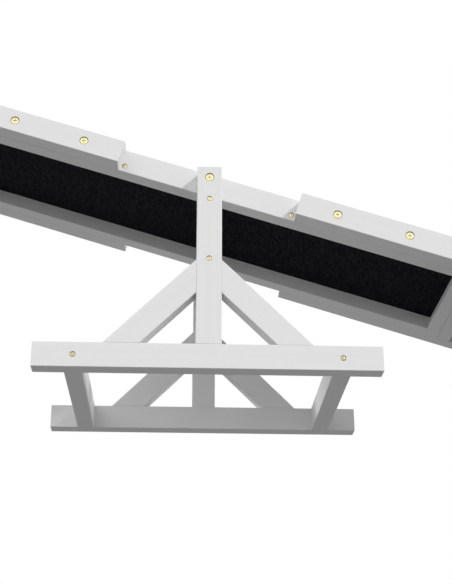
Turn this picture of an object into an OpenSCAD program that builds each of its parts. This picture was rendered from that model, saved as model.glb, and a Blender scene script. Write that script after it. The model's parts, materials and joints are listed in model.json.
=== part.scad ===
/* [Plank] */
// Length of the whole plank, end to end
plank_l = 3700; // [3500:10:3900]
// Clear width between the inner rails
deck_w = 400; // [340:5:440]
// Length of the centre section, end to end
centre_l = 1580; // [1440:10:1700]
// Distance along the plank from the pivot to the inner end of an outer rail
lap_start = 264; // [220:2:300]
// Height of the underside of the deck above the pivot axis
deck_under = 6; // [4:1:9]
// Thickness of the deck panels
deck_t = 18; // [15:1:20]
// Depth of the grooves that hold the edges of the deck panels
groove_d = 10; // [8:1:12]
// Thickness of the anti-slip mats
mat_t = 10; // [5:1:11]
// Length of the plain mat between the centre section and a contact zone
plain_mat_l = 159.5; // [120:0.5:220]

/* [Stand] */
// Length of the base rails
base_rail_l = 937; // [880:1:1100]
// Distance from the end of a base rail to the outer face of a base crossbar
crossbar_inset = 83.5; // [60:0.5:110]
// Height of the pivot axis above the ground
pivot_h = 576; // [540:2:620]
// Height of the top of a post above the pivot axis
post_over = 33; // [26:1:45]
// Clear gap between a post and the inner rail beside it
side_gap = 1; // [1:0.1:2]
// How far the outer edge of a brace reaches along the base rail from the post
brace_leg_x = 248; // [200:2:270]
// How far the outer edge of a brace reaches up the post from the base rail
brace_leg_z = 248; // [200:2:270]
// Height of the middle of the lower spreader above the ground
lower_spreader_z = 322; // [315:1:360]
// Least gap between the upper spreader and the rails that tilt over it
spreader_clear = 6; // [3:0.5:15]

/* [Timber] */
// Thickness of the rails, posts and braces
timber_t = 50; // [46:1:56]
// Width of the rails, posts and braces
timber_h = 70; // [64:1:76]
// Thickness of the plank's crossbars and of the two spreaders
batten_t = 40; // [34:1:44]
// Rounding along the four long edges of every timber
arris = 2; // [1:0.5:3]

/* [Pivot] */
// Diameter of the part of a pivot bolt that turns in its bush
journal_d = 10; // [8:0.5:11]
// Gap all round between a journal and the bore of its bush
journal_clear = 0.05; // [0.02:0.01:0.1]
// Wall thickness of a pivot bush
bush_wall = 2; // [1.5:0.5:3]
// Diameter of the flange of a pivot bush
flange_d = 30; // [24:1:36]
// Thickness of the flange of a pivot bush
flange_t = 0.8; // [0.4:0.1:0.9]
// Timber left between a pivot bush and the groove behind it
bush_web = 4; // [3:1:8]

/* [Bolts] */
// Diameter of the bolts
bolt_d = 12; // [11:0.5:13]
// Diameter of the bolt heads
bolt_head_d = 23; // [20:1:28]
// Height of the domed bolt heads
bolt_head_h = 5; // [4:0.5:7]
// Gap all round between a bolt and the hole that it passes through
bolt_gap = 0.25; // [0.1:0.05:0.5]
// Distance from the inner end of an outer rail to the first joint bolt
bolt_end_gap = 114; // [80:2:130]
// Distance between the two joint bolts of one lap
bolt_pitch = 210; // [160:2:230]
// Outer diameter of the threaded inserts
insert_d = 16; // [15:0.5:18]
// Length of the threaded inserts
insert_l = 28; // [20:1:32]

/* [Screws and dowels] */
// Diameter of the screws
screw_d = 6; // [5:0.5:7]
// Diameter of the screw heads
screw_head_d = 13; // [10:0.5:14]
// Height of the domed screw heads
screw_head_h = 3.5; // [2.5:0.5:4.5]
// Length of the long screws, from under the head to the tip
screw_l = 95; // [80:1:110]
// Length of the short locating screws, from under the head to the tip
short_screw_l = 34; // [25:1:38]
// Distance from the end of an outer rail to the middle of a locating screw
locator_gap = 12.3; // [9:0.1:16]
// How far the locating screws sit below the pivot axis
locator_drop = 16.7; // [12:0.1:22]
// Share of a head's height that is its straight side, under the dome
head_side = 0.65; // [0.3:0.05:0.8]
// How far the heads are sunk below the face of the timber
head_sink = 1; // [0.5:0.5:2]
// Gap all round between a head and its counterbore
head_gap = 1.2; // [0.8:0.1:2]
// Diameter of the dowels
dowel_d = 10; // [8:1:12]
// Length of the dowels
dowel_l = 40; // [30:2:50]
// Distance between the two dowels of a joint
dowel_pitch = 32; // [24:2:36]

/* [Hidden] */
$fn = 48;
arris_fn = 24;

// Directions: the front is towards -Y, the low end of the plank towards +X
front = -1;
rear = 1;
left = -1;
right = 1;

// Fits between pieces that are put together
panel_gap = 0.5;
section_gap = 0.5;
hole_spare = 1;
past = 1;

// Share of a head taken by its cross recess
recess_len = 0.62;
recess_wid = 0.14;
recess_deep = 0.55;

// Plank, in its own frame: pivot axis at the origin, +Z square to the deck
half_l = plank_l / 2;
half_centre = centre_l / 2;
end_start = half_centre + section_gap;
end_deck_w = deck_w + 2 * timber_t;
crossbar_h = timber_h / 2 + deck_under;
crossbar_z = -timber_h / 2 + crossbar_h / 2;
contact_start = end_start + plain_mat_l;
outer_rail_l = half_l - lap_start;
inner_rail_y = deck_w / 2 + timber_t / 2;
outer_rail_y = deck_w / 2 + timber_t * 3 / 2;
joint_bolt_x = [lap_start + bolt_end_gap, lap_start + bolt_end_gap + bolt_pitch];

// The plank lies with the lower edge of its right end on the ground
edge_reach = sqrt(half_l * half_l + timber_h * timber_h / 4);
tilt = asin(pivot_h / edge_reach) - atan(timber_h / 2 / half_l);

// Stand
stand_clear = deck_w + 2 * timber_t + 2 * side_gap;
stand_depth = stand_clear + 2 * timber_t;
frame_y = stand_clear / 2 + timber_t / 2;
crossbar_x = base_rail_l / 2 - crossbar_inset - timber_t / 2;
post_l = pivot_h + post_over - timber_h;
post_side = timber_h / 2;
rail_drop = timber_h / 2 / cos(tilt) + batten_t / 2 * tan(tilt);
upper_spreader_z = pivot_h - rail_drop - spreader_clear - batten_t / 2;
brace_angle = atan(brace_leg_z / brace_leg_x);
brace_cut_x = timber_h / sin(brace_angle);
brace_cut_z = timber_h / cos(brace_angle);

// Middles of the dowel pairs: on the middle line of the brace, half way along the buried part
foot_dowel_x = post_side + brace_leg_x - brace_cut_x / 2 - dowel_l / 4 / tan(brace_angle);
head_dowel_z = timber_h + brace_leg_z - brace_cut_z / 2 - dowel_l / 4 * tan(brace_angle);

// Pivot: each bush is as long as the rail allows behind its groove
bush_d = journal_d + 2 * journal_clear + 2 * bush_wall;
bush_l = timber_t - groove_d - bush_web;
journal_l = side_gap + bush_l - hole_spare;
head_seat = bolt_head_h + head_sink;
screw_seat = screw_head_h + head_sink;
bolt_grip = timber_t - head_seat;
joint_bolt_l = bolt_grip + insert_l;

paint = "whitesmoke";
brass = "goldenrod";
steel = "silver";
beech = "burlywood";
black_board = "#202022";
black_rubber = "#2C2C2E";
yellow_rubber = "gold";
bronze = "peru";

// What is drawn for the front, where outwards is -Y, mirrored for the rear
module at_side(side) {
    mirror([0, side == rear ? 1 : 0, 0])
        children();
}

// What is drawn for the right, mirrored for the left
module at_end(end) {
    mirror([end == left ? 1 : 0, 0, 0])
        children();
}

// Puts pieces drawn in the plank's own frame on the pivot, low end to the right
module on_pivot() {
    translate([0, 0, pivot_h])
        rotate([0, tilt, 0])
            children();
}

// Turns what points along +Z to point along +Y, into the timber from its front face
module inwards() {
    rotate([-90, 0, 0])
        children();
}

// Corner waste of a rounded long edge, for the corner at the origin
module arris_waste() {
    difference() {
        translate([-past, -past])
            square(arris + past);
        translate([arris, arris])
            circle(r = arris, $fn = arris_fn);
    }
}

// Section of a planed timber with its four long edges rounded
module timber_section(w, h) {
    difference() {
        square([w, h], center = true);
        for (i = [0, 1], j = [0, 1])
            mirror([i, 0])
                mirror([0, j])
                    translate([-w / 2, -h / 2])
                        arris_waste();
    }
}

// Timber along X, starting at the origin
module timber_x(l, y_size, z_size) {
    rotate([90, 0, 90])
        linear_extrude(height = l)
            timber_section(y_size, z_size);
}

// Timber along Y, its middle at the origin
module timber_y(l, x_size, z_size) {
    rotate([90, 0, 0])
        linear_extrude(height = l, center = true)
            timber_section(x_size, z_size);
}

// Timber upwards along Z, starting at the origin
module timber_z(l, x_size, y_size) {
    linear_extrude(height = l)
        timber_section(x_size, y_size);
}

// Round hole along +Z that opens through the face at the origin
module hole(d, depth) {
    translate([0, 0, -past])
        cylinder(d = d, h = depth + past);
}

// Counterbore for a head, in the face at the origin
module head_pocket(head_d, depth) {
    hole(head_d + 2 * head_gap, depth);
}

// Domed head with a straight side and a cross recess: it stands on the origin and points to -Z
module domed_head(d, h) {
    dome_h = h * (1 - head_side);
    ball_r = (d * d / 4 + dome_h * dome_h) / (2 * dome_h);
    difference() {
        intersection() {
            translate([0, 0, ball_r - h])
                sphere(r = ball_r, $fn = 96);
            translate([0, 0, -h])
                cylinder(d = d, h = h);
        }
        for (turn = [0, 90])
            rotate([0, 0, turn])
                translate([0, 0, -h])
                    cube([d * recess_len, d * recess_wid, 2 * h * recess_deep], center = true);
    }
}

// Wood screw: the underside of its head is at the origin, its tip at +Z
module wood_screw(l) {
    domed_head(screw_head_d, screw_head_h);
    cylinder(d = screw_d, h = l - screw_d);
    translate([0, 0, l - screw_d])
        cylinder(d1 = screw_d, d2 = screw_d / 6, h = screw_d);
}

// Hole for a screw that starts from the face at the origin, with its counterbore
module screw_hole(l) {
    head_pocket(screw_head_d, screw_seat);
    hole(screw_d, screw_seat + l + hole_spare);
}

module seated_screw(l) {
    translate([0, 0, screw_seat])
        wood_screw(l);
}

// Holes and dowels are centred on the joint face, along Z
module dowel_pair_hole() {
    for (x = [-dowel_pitch / 2, dowel_pitch / 2])
        translate([x, 0, 0])
            cylinder(d = dowel_d, h = dowel_l + 2 * hole_spare, center = true);
}

module dowel_pair() {
    for (x = [-dowel_pitch / 2, dowel_pitch / 2])
        translate([x, 0, 0])
            cylinder(d = dowel_d, h = dowel_l, center = true);
}

// Places of the stand's joints, drawn for the front side

module at_post_foot() {
    translate([0, -frame_y, timber_h])
        children();
}

module at_brace_foot() {
    translate([foot_dowel_x, -frame_y, timber_h])
        children();
}

module at_brace_head() {
    translate([post_side, -frame_y, head_dowel_z])
        rotate([0, 90, 0])
            children();
}

module at_front_face(x, z) {
    translate([x, -stand_depth / 2, z])
        inwards()
            children();
}

// Stand

module base_rail(side) {
    color(paint)
        at_side(side)
            difference() {
                translate([-base_rail_l / 2, -frame_y, timber_h / 2])
                    timber_x(base_rail_l, timber_t, timber_h);
                for (end = [left, right])
                    at_front_face(end * crossbar_x, timber_h / 2)
                        screw_hole(screw_l);
                at_post_foot()
                    dowel_pair_hole();
                for (end = [left, right])
                    at_end(end)
                        at_brace_foot()
                            dowel_pair_hole();
            }
}

module base_crossbar(end) {
    color(paint)
        difference() {
            translate([end * crossbar_x, 0, timber_h / 2])
                timber_y(stand_clear, timber_t, timber_h);
            for (side = [front, rear])
                at_side(side)
                    at_front_face(end * crossbar_x, timber_h / 2)
                        screw_hole(screw_l);
        }
}

module post(side) {
    color(paint)
        at_side(side)
            difference() {
                translate([0, -frame_y, timber_h])
                    timber_z(post_l, timber_h, timber_t);
                for (z = [upper_spreader_z, lower_spreader_z])
                    at_front_face(0, z)
                        screw_hole(screw_l);
                at_front_face(0, pivot_h) {
                    head_pocket(bolt_head_d, head_seat);
                    hole(bolt_d + 2 * bolt_gap, timber_t + past);
                    translate([0, 0, timber_t - insert_l])
                        cylinder(d = insert_d, h = insert_l + past);
                }
                at_post_foot()
                    dowel_pair_hole();
                for (end = [left, right])
                    at_end(end)
                        at_brace_head()
                            dowel_pair_hole();
            }
}

// The brace is a timber laid along its outer edge, cut upright at the post and level at the rail
module brace(side, end) {
    overlong = (brace_leg_x + brace_leg_z) * 2;
    color(paint)
        at_side(side)
            at_end(end)
                difference() {
                    intersection() {
                        translate([post_side, -frame_y, timber_h + brace_leg_z])
                            rotate([0, brace_angle, 0])
                                translate([-overlong / 2, 0, -timber_h / 2])
                                    timber_x(overlong, timber_t, timber_h);
                        translate([post_side, -frame_y - timber_t, timber_h])
                            cube([overlong, 2 * timber_t, overlong]);
                    }
                    at_brace_foot()
                        dowel_pair_hole();
                    at_brace_head()
                        dowel_pair_hole();
                }
}

module spreader(z) {
    color(paint)
        difference() {
            translate([0, 0, z])
                timber_y(stand_clear, batten_t, batten_t);
            for (side = [front, rear])
                at_side(side)
                    at_front_face(0, z)
                        screw_hole(screw_l);
        }
}

module base_screws() {
    color(brass)
        for (side = [front, rear], end = [left, right])
            at_side(side)
                at_front_face(end * crossbar_x, timber_h / 2)
                    seated_screw(screw_l);
}

module spreader_screws() {
    color(brass)
        for (side = [front, rear], z = [upper_spreader_z, lower_spreader_z])
            at_side(side)
                at_front_face(0, z)
                    seated_screw(screw_l);
}

module post_dowels() {
    color(beech)
        for (side = [front, rear])
            at_side(side)
                at_post_foot()
                    dowel_pair();
}

module brace_dowels() {
    color(beech)
        for (side = [front, rear], end = [left, right])
            at_side(side)
                at_end(end) {
                    at_brace_foot()
                        dowel_pair();
                    at_brace_head()
                        dowel_pair();
                }
}

// The bolt screws into the post's insert, and its thinner end turns in the bush of the rail
module pivot_bolt(side) {
    color(brass)
        at_side(side)
            at_front_face(0, pivot_h)
                translate([0, 0, head_seat]) {
                    domed_head(bolt_head_d, bolt_head_h);
                    cylinder(d = bolt_d, h = bolt_grip);
                    cylinder(d = journal_d, h = bolt_grip + journal_l);
                }
}

module insert_sleeve() {
    difference() {
        cylinder(d = insert_d, h = insert_l);
        hole(bolt_d, insert_l + past);
    }
}

module post_inserts() {
    color(steel)
        for (side = [front, rear])
            at_side(side)
                at_front_face(0, pivot_h)
                    translate([0, 0, timber_t - insert_l])
                        insert_sleeve();
}

// Centre section of the plank, in the plank's own frame

module at_inner_face(x, z) {
    translate([x, -deck_w / 2 - timber_t, z])
        inwards()
            children();
}

module at_outer_face(x, z) {
    translate([x, -deck_w / 2 - 2 * timber_t, z])
        inwards()
            children();
}

// Groove for a deck panel whose rail has its inner face at width / 2
module deck_groove(width, start, end) {
    translate([start, -width / 2 - groove_d, deck_under])
        cube([end - start, groove_d + past, deck_t]);
}

module deck_panel(width, start, end) {
    panel_w = width + 2 * (groove_d - panel_gap);
    translate([start, -panel_w / 2, deck_under])
        cube([end - start, panel_w, deck_t]);
}

module deck_mat(width, start, end) {
    mat_w = width - 2 * panel_gap;
    translate([start, -mat_w / 2, deck_under + deck_t])
        cube([end - start, mat_w, mat_t]);
}

// Crossbar between two rails whose inner faces are the given width apart
module plank_crossbar(width, start) {
    translate([start + batten_t / 2, 0, crossbar_z])
        timber_y(width, batten_t, crossbar_h);
}

module inner_rail(side) {
    color(paint)
        on_pivot()
            at_side(side)
                difference() {
                    translate([-half_centre, -inner_rail_y, 0])
                        timber_x(centre_l, timber_t, timber_h);
                    deck_groove(deck_w, -half_centre - past, half_centre + past);
                    at_inner_face(0, 0)
                        hole(bush_d, bush_l);
                    for (end = [left, right])
                        at_end(end) {
                            for (x = joint_bolt_x)
                                at_inner_face(x, 0)
                                    hole(insert_d, insert_l + hole_spare);
                            at_inner_face(half_centre - batten_t / 2, crossbar_z)
                                screw_hole(screw_l);
                            at_inner_face(lap_start - locator_gap, -locator_drop)
                                screw_hole(short_screw_l);
                        }
                }
}

module centre_crossbar(end) {
    color(paint)
        on_pivot()
            at_end(end)
                difference() {
                    plank_crossbar(deck_w, half_centre - batten_t);
                    for (side = [front, rear])
                        at_side(side)
                            at_inner_face(half_centre - batten_t / 2, crossbar_z)
                                screw_hole(screw_l);
                }
}

module centre_deck() {
    color(black_board)
        on_pivot()
            deck_panel(deck_w, -half_centre, half_centre);
}

module centre_mat() {
    color(black_rubber)
        on_pivot()
            deck_mat(deck_w, -half_centre, half_centre);
}

module pivot_bush(side) {
    color(bronze)
        on_pivot()
            at_side(side)
                at_inner_face(0, 0)
                    difference() {
                        union() {
                            cylinder(d = bush_d, h = bush_l);
                            translate([0, 0, -flange_t])
                                cylinder(d = flange_d, h = flange_t);
                        }
                        hole(journal_d + 2 * journal_clear, bush_l + past);
                    }
}

module centre_frame_screws() {
    color(brass)
        on_pivot()
            for (side = [front, rear], end = [left, right])
                at_side(side)
                    at_end(end)
                        at_inner_face(half_centre - batten_t / 2, crossbar_z)
                            seated_screw(screw_l);
}

module locating_screws() {
    color(brass)
        on_pivot()
            for (side = [front, rear], end = [left, right])
                at_side(side)
                    at_end(end)
                        at_inner_face(lap_start - locator_gap, -locator_drop)
                            seated_screw(short_screw_l);
}

module rail_inserts() {
    color(steel)
        on_pivot()
            for (side = [front, rear], end = [left, right], x = joint_bolt_x)
                at_side(side)
                    at_end(end)
                        at_inner_face(x, 0)
                            insert_sleeve();
}

// End sections of the plank, drawn for the right end

module at_end_screws() {
    for (x = [end_start + batten_t / 2, half_l - batten_t / 2])
        at_outer_face(x, crossbar_z)
            children();
}

module outer_rail(side, end) {
    color(paint)
        on_pivot()
            at_side(side)
                at_end(end)
                    difference() {
                        translate([lap_start, -outer_rail_y, 0])
                            timber_x(outer_rail_l, timber_t, timber_h);
                        deck_groove(end_deck_w, end_start - section_gap, half_l + past);
                        for (x = joint_bolt_x)
                            at_outer_face(x, 0) {
                                head_pocket(bolt_head_d, head_seat);
                                hole(bolt_d + 2 * bolt_gap, timber_t + past);
                            }
                        at_end_screws()
                            screw_hole(screw_l);
                    }
}

module end_section_crossbar(end, start) {
    color(paint)
        on_pivot()
            at_end(end)
                difference() {
                    plank_crossbar(end_deck_w, start);
                    for (side = [front, rear])
                        at_side(side)
                            at_end_screws()
                                screw_hole(screw_l);
                }
}

module end_deck(end) {
    color(black_board)
        on_pivot()
            at_end(end)
                deck_panel(end_deck_w, end_start, half_l);
}

module end_mat(end) {
    color(black_rubber)
        on_pivot()
            at_end(end)
                deck_mat(end_deck_w, end_start, contact_start);
}

module contact_mat(end) {
    color(yellow_rubber)
        on_pivot()
            at_end(end)
                deck_mat(end_deck_w, contact_start, half_l);
}

module end_frame_screws(end) {
    color(brass)
        on_pivot()
            for (side = [front, rear])
                at_side(side)
                    at_end(end)
                        at_end_screws()
                            seated_screw(screw_l);
}

module joint_bolts(end) {
    color(brass)
        on_pivot()
            for (side = [front, rear], x = joint_bolt_x)
                at_side(side)
                    at_end(end)
                        at_outer_face(x, 0)
                            translate([0, 0, head_seat]) {
                                domed_head(bolt_head_d, bolt_head_h);
                                cylinder(d = bolt_d, h = joint_bolt_l);
                            }
}

base_rail(front);  // front_base_rail
base_rail(rear);  // rear_base_rail
base_crossbar(left);  // left_base_crossbar
base_crossbar(right);  // right_base_crossbar
post(front);  // front_post
post(rear);  // rear_post
brace(front, left);  // front_left_brace
brace(front, right);  // front_right_brace
brace(rear, left);  // rear_left_brace
brace(rear, right);  // rear_right_brace
spreader(upper_spreader_z);  // upper_spreader
spreader(lower_spreader_z);  // lower_spreader
base_screws();
spreader_screws();
post_dowels();
brace_dowels();
pivot_bolt(front);  // front_pivot_bolt
pivot_bolt(rear);  // rear_pivot_bolt
post_inserts();
inner_rail(front);  // front_inner_rail
inner_rail(rear);  // rear_inner_rail
centre_crossbar(left);  // left_centre_crossbar
centre_crossbar(right);  // right_centre_crossbar
centre_deck();
centre_mat();
pivot_bush(front);  // front_pivot_bush
pivot_bush(rear);  // rear_pivot_bush
centre_frame_screws();
locating_screws();
rail_inserts();
outer_rail(front, left);  // left_front_outer_rail
outer_rail(rear, left);  // left_rear_outer_rail
end_section_crossbar(left, end_start);  // left_inner_crossbar
end_section_crossbar(left, half_l - batten_t);  // left_end_crossbar
end_deck(left);  // left_deck
end_mat(left);  // left_mat
contact_mat(left);  // left_contact_mat
end_frame_screws(left);  // left_frame_screws
joint_bolts(left);  // left_joint_bolts
outer_rail(front, right);  // right_front_outer_rail
outer_rail(rear, right);  // right_rear_outer_rail
end_section_crossbar(right, end_start);  // right_inner_crossbar
end_section_crossbar(right, half_l - batten_t);  // right_end_crossbar
end_deck(right);  // right_deck
end_mat(right);  // right_mat
contact_mat(right);  // right_contact_mat
end_frame_screws(right);  // right_frame_screws
joint_bolts(right);  // right_joint_bolts
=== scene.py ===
"""Dresses a dog agility seesaw: white painted timber, black deck boards, rubber mats and yellow fixings."""

import json
import math

import bmesh
import bpy
from bpy.props import FloatProperty, FloatVectorProperty, IntProperty, PointerProperty
from mathutils import Matrix, Vector, noise


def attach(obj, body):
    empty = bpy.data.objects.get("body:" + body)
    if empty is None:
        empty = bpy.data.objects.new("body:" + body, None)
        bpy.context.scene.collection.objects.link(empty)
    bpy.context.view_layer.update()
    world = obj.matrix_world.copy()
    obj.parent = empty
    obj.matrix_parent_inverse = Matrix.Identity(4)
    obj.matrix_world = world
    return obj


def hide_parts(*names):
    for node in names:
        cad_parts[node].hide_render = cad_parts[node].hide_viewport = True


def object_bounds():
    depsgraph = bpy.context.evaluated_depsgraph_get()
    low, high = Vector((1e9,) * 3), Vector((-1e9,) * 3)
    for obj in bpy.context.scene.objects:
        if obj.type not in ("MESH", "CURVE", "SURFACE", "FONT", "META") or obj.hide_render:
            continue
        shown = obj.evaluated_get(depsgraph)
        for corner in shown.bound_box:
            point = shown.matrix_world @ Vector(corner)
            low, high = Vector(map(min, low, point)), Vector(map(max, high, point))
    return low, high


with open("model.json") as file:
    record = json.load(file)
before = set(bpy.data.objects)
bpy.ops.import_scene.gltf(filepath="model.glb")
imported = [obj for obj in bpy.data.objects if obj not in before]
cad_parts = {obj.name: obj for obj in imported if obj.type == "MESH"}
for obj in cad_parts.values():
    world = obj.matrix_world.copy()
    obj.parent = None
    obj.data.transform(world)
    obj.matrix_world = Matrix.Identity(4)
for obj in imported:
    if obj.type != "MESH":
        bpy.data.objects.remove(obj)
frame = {"nodes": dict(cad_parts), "record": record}

bl_info = {
    "name": "Dog agility seesaw",
    "version": (1, 0, 0),
    "blender": (4, 5, 0),
    "location": "View3D > Sidebar > Seesaw",
    "description": "Builds the finished pieces of a dog agility seesaw round its joinery",
    "category": "Object",
}

CAD_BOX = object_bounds()
PHOTO_W, PHOTO_H = 452, 584
SENSOR_LONG_SIDE = 36.0
MM = 0.001
# Corners that lie nearer than this are one: those of a node's mesh, and those of a turned shape
WELD = 0.001 * MM
TURNED_WELD = 0.01 * MM
# A surface that turns by less than this at an edge looks smooth there
SMOOTH_TURN = math.radians(35)
# The turn from one head to the next, with which no two crosses line up
GOLDEN_TURN = math.radians(137.5)

# The names of two attributes of the points: the place in its own piece, along, across and up, in metres,
# and how much wear and painted shade a point of a fixing gets, least in the middle of a head, which is worn
# pale, and 1 at its rim
PLACE = "place"
SHADE_AND_WEAR = "shade_and_wear"
# How much painted shade the inside of a recess gets, and how far up and out it reaches: shares of the height
# and the radius of the head
RECESS_SHADE = 0.9
RECESS_HEIGHT, RECESS_RADIUS = 0.6, 0.5
# How far the pattern moves on from one piece of a kind to the next, in metres
TIMBER_SHIFT, BOARD_SHIFT, MAT_SHIFT, FIXING_SHIFT, DOWEL_SHIFT = 0.71, 0.83, 0.57, 0.1, 0.05
# At scale 1, a wave texture has one band in this many units, or in twice as many along each axis where
# its bands are diagonal
WAVE_UNIT = math.pi / 10


def linear(code):
    """A colour written as an sRGB hex code, in Blender's linear values."""
    parts = [int(code[i:i + 2], 16) / 255 for i in (1, 3, 5)]
    return [c / 12.92 if c <= 0.04045 else ((c + 0.055) / 1.055) ** 2.4 for c in parts] + [1.0]


def colour(name, description, code):
    return FloatVectorProperty(
        name=name, description=description, default=linear(code), subtype="COLOR", size=4, min=0, max=1
    )


def length(name, description, millimetres):
    return FloatProperty(
        name=name, description=description, default=millimetres * MM, min=0, unit="LENGTH",
        subtype="DISTANCE", precision=4,
    )


def share(name, description, value):
    return FloatProperty(name=name, description=description, default=value, min=0, max=1, subtype="FACTOR")


def strength(name, description, value):
    return FloatProperty(name=name, description=description, default=value, min=0)


def angle(name, description, degrees):
    return FloatProperty(
        name=name, description=description, default=math.radians(degrees), subtype="ANGLE", unit="ROTATION"
    )


def way_to(name, description, azimuth, height):
    """A direction out of the object, given by its angle from +X about +Z and its height in degrees."""
    a, h = math.radians(azimuth), math.radians(height)
    return FloatVectorProperty(
        name=name, description=description, subtype="DIRECTION",
        default=(math.cos(a) * math.cos(h), math.sin(a) * math.cos(h), math.sin(h)),
    )


# Settings


class SeesawTimber(bpy.types.PropertyGroup):
    paint: colour("Paint", "White satin paint on the frame", "#E9E9E9")
    thin_paint: colour("Thin paint", "The paint where the grain stands up and the film is thin", "#E4E4E3")
    edge_ease: length("Eased edges", "Chamfer along the sawn ends and round the holes", 1.0)
    ring_width: length("Ring width", "Spacing of the growth rings that show as ridges", 12)
    streak_width: length("Streak width", "Width of the broad streaks in the grain", 16)
    streak_length: length("Streak length", "Length of the broad streaks in the grain", 420)
    ridge_height: length("Ridge height", "How far the grain stands up under the paint", 0.1)
    stipple: length("Stipple", "Width of the dimples that the paint roller leaves", 1.5)
    stipple_height: length("Stipple height", "Height of the roller's dimples", 0.02)


class SeesawDeck(bpy.types.PropertyGroup):
    film: colour("Film", "Black phenolic film on the faces of the boards", "#0A0A0D")
    film_worn: colour("Pressed film", "The film on the raised lines of the mesh and the veneer", "#2C2C31")
    sealed_edge: colour("Sealed edge", "Black edge sealer over the layers of veneer", "#1B1918")
    edge_ease: length("Eased edges", "Chamfer along the edges of the boards", 0.5)
    mesh_pitch: length("Mesh pitch", "Spacing of the wires that were pressed into the film", 7.5)
    mesh_depth: length("Mesh depth", "Depth of the pressed mesh", 0.25)
    veneer_grain: length("Veneer grain", "Width of a streak of the veneer's grain under the film", 5)
    veneer_streak: length("Veneer streak", "Length of a streak of the veneer's grain, across the board", 20)
    veneer: length("Veneer", "Thickness of one layer of veneer", 1.4)
    veneer_step: length("Veneer step", "How far one layer stands out of the next on a sawn edge", 0.1)


class SeesawMats(bpy.types.PropertyGroup):
    black: colour("Black granules", "Recycled tyre rubber", "#29292A")
    grey: colour("Worn granules", "Granules that have turned grey", "#3C3C3D")
    yellow: colour("Yellow granules", "Coloured rubber on the contact zones", "#D9A31C")
    amber: colour("Dark granules", "Darker grains among the yellow ones", "#B98212")
    granule: length("Granule", "Width of one rubber granule", 3)
    granule_height: length("Granule height", "How far a granule stands out of the binder", 0.5)
    edge_round: length("Rounded edge", "Rounding along the upper edges of a mat", 2)
    unevenness: length("Unevenness", "How far the surface of a mat dips", 0.5)
    dip_width: length("Dip width", "Width of a dip in the surface of a mat", 25)
    cell: length("Mesh cell", "Width of one cell of the mat's mesh", 10)


class SeesawFixings(bpy.types.PropertyGroup):
    plating: colour("Plating", "Yellow passivated zinc, worn pale", "#E4DCBC")
    # Besides thicker passivation, this deeper yellow is painted shade towards the rim of a head
    plating_tint: colour("Plating tint", "Where the passivation is thicker", "#D3C693")
    # Painted shade: this duller colour darkens the rim of each head and the inside of its recess
    plating_shade: colour("Dull plating", "At the rim of a head and in its recess", "#9C947A")
    plating_cloud: length("Plating clouds", "Width of the clouds in the passivation", 7)
    # Painted shade: the heads of the base screws near the ground are darker all over
    low_shade: share("Shelter of base screws", "How much less the heads near the ground are worn pale", 0.7)
    steel: colour("Steel", "Clear passivated zinc on the threaded inserts", "#C8CCD0")
    turning_marks: length("Turning marks", "Spacing of the marks that turning leaves", 0.6)
    turning_depth: length("Turning depth", "Depth of the turning marks", 0.02)
    bronze: colour("Bronze", "Sintered bearing bronze", "#B98A5A")
    bronze_pores: colour("Pores", "Oil-filled pores of the bronze", "#7E5A38")
    pore: length("Pore", "Width of a cluster of pores", 0.8)
    beech: colour("Beech", "Beech dowels", "#D9B68C")
    beech_flecks: colour("Flecks", "Short dark flecks of the beech", "#B58A5C")
    fleck: length("Fleck", "Width of a fleck of the beech", 0.7)
    bolt_shank: length("Bolt shank", "Diameter of the bolts", 12)
    bolt_head: length("Bolt head", "Height of the domed bolt heads", 5)
    bolt_pitch: length("Bolt pitch", "Pitch of the thread of the bolts", 1.75)
    bolt_plain: length("Plain shank", "Unthreaded part of a bolt", 24)
    journal: length("Journal", "Diameter of the journal of a pivot bolt", 10)
    journal_length: length("Journal length", "Length of the journal of a pivot bolt", 36)
    screw_shank: length("Screw", "Outer diameter of the wood screws", 6)
    screw_head: length("Screw head", "Height of the domed screw heads", 3.5)
    screw_pitch: length("Screw pitch", "Pitch of the thread of the wood screws", 2.8)
    screw_depth: share("Screw depth", "Depth of a wood screw's thread as a share of its radius", 0.3)
    insert_wall: length("Insert wall", "Wall of a threaded insert, with its thread", 2)
    insert_pitch: length("Insert pitch", "Pitch of the coarse outer thread of an insert", 3.5)
    insert_depth: share("Insert depth", "Depth of that thread as a share of the wall", 0.45)
    insert_ease: length("Insert chamfer", "Chamfer at the two ends of an insert's bore", 0.5)
    head_side: share("Head side", "Share of a head's height that is its straight side", 0.65)
    recess: share("Recess", "Length of the cross recess as a share of the head", 0.62)
    flutes: IntProperty(name="Flutes", description="Flutes round a dowel", default=20, min=8)
    flute_depth: length("Flute depth", "Depth of a dowel's flutes", 0.45)
    dowel_ease: length("Dowel chamfer", "Chamfer at the ends of a dowel", 1.2)
    columns: IntProperty(name="Columns", description="Facets round a fixing", default=32, min=12)


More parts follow.
